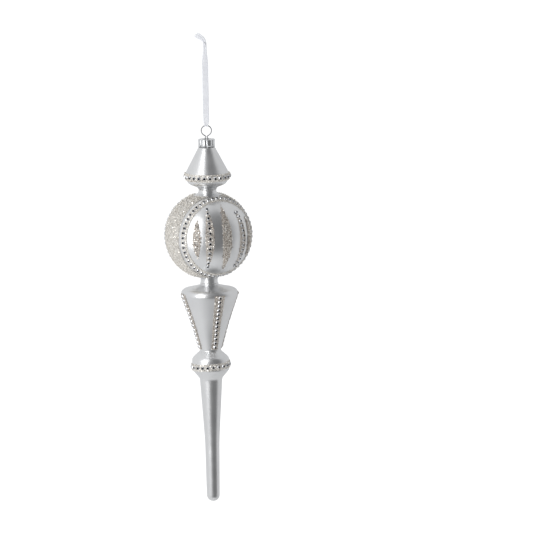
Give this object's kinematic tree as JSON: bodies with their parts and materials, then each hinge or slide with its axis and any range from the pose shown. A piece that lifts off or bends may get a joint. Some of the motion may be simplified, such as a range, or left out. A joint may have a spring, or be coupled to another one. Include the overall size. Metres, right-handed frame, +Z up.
{
  "type": "icicle hanging ornament",
  "caption": "Long silvered glass hanging ornament: cone, ball, goblet, bulb and spike in one piece, with rows of stones in glitter, a crimped cap, a wire ring and a ribbon loop.",
  "frame": {"origin": "the hang point: inside the ribbon loop, just under its knot, on the ornament's vertical axis", "axes": "+Z up along the hanging axis, front towards -Y, +X to the right seen from the front; the wire ring lies in the XZ plane"},
  "size_m": [0.0862, 0.0862, 0.4602],
  "materials": {
    "silvered_glass": "blown glass silvered inside, with a satin frosted outside",
    "cap_metal": "bright pressed tinplate",
    "wire_steel": "plain spring wire",
    "glitter": "fine champagne and silver grains in clear glue",
    "stones": "faceted clear stones with a foil back",
    "ribbon": "sheer woven organza"
  },
  "bodies": {
    "ribbon_top": {"ribbon_knot": "ribbon", "ribbon_tail_front": "ribbon", "ribbon_tail_back": "ribbon", "ribbon_upper_front": "ribbon", "ribbon_upper_back": "ribbon"},
    "ribbon_foot": {"ribbon_lower_front": "ribbon", "ribbon_lower_back": "ribbon", "ribbon_wrap": "ribbon"},
    "hanger": {"hanger_wire": "wire_steel"},
    "cap": {"cap": "cap_metal"},
    "ornament": {"glass_body": "silvered_glass", "glitter_cone_rim": "glitter", "glitter_ball_ring_front": "glitter", "glitter_ball_ring_back": "glitter", "glitter_ball_middle": "glitter", "glitter_stripe_front_1": "glitter", "glitter_stripe_front_2": "glitter", "glitter_stripe_front_3": "glitter", "glitter_stripe_front_4": "glitter", "glitter_stripe_front_5": "glitter", "glitter_stripe_back_1": "glitter", "glitter_stripe_back_2": "glitter", "glitter_stripe_back_3": "glitter", "glitter_stripe_back_4": "glitter", "glitter_stripe_back_5": "glitter", "glitter_goblet_1": "glitter", "glitter_goblet_2": "glitter", "glitter_goblet_3": "glitter", "glitter_goblet_4": "glitter", "glitter_bulb": "glitter", "stones_cone_rim": "stones", "stones_ball_ring_front": "stones", "stones_ball_ring_back": "stones", "stones_stripe_front_2": "stones", "stones_stripe_front_4": "stones", "stones_stripe_back_2": "stones", "stones_stripe_back_4": "stones", "stones_goblet_1": "stones", "stones_goblet_2": "stones", "stones_goblet_3": "stones", "stones_goblet_4": "stones", "stones_bulb": "stones"}
  },
  "joints": [
    {"name": "ribbon_twist", "type": "hinge", "parent": "ribbon_top", "child": "ribbon_foot", "pos_m": [0, 0, -0.039], "axis": [0, 0, 1], "range_deg": [-180, 180]},
    {"name": "ornament_swing", "type": "hinge", "parent": "ribbon_foot", "child": "hanger", "pos_m": [0, 0, -0.0767], "axis": [1, 0, 0], "range_deg": [-75, 75]},
    {"name": "hanger_slide", "type": "slide", "parent": "hanger", "child": "cap", "axis": [0, 0, 1], "range_m": [0, 0.0022]},
    {"name": "cap_pull", "type": "slide", "parent": "cap", "child": "ornament", "axis": [0, 0, -1], "range_m": [0, 0.03]}
  ]
}
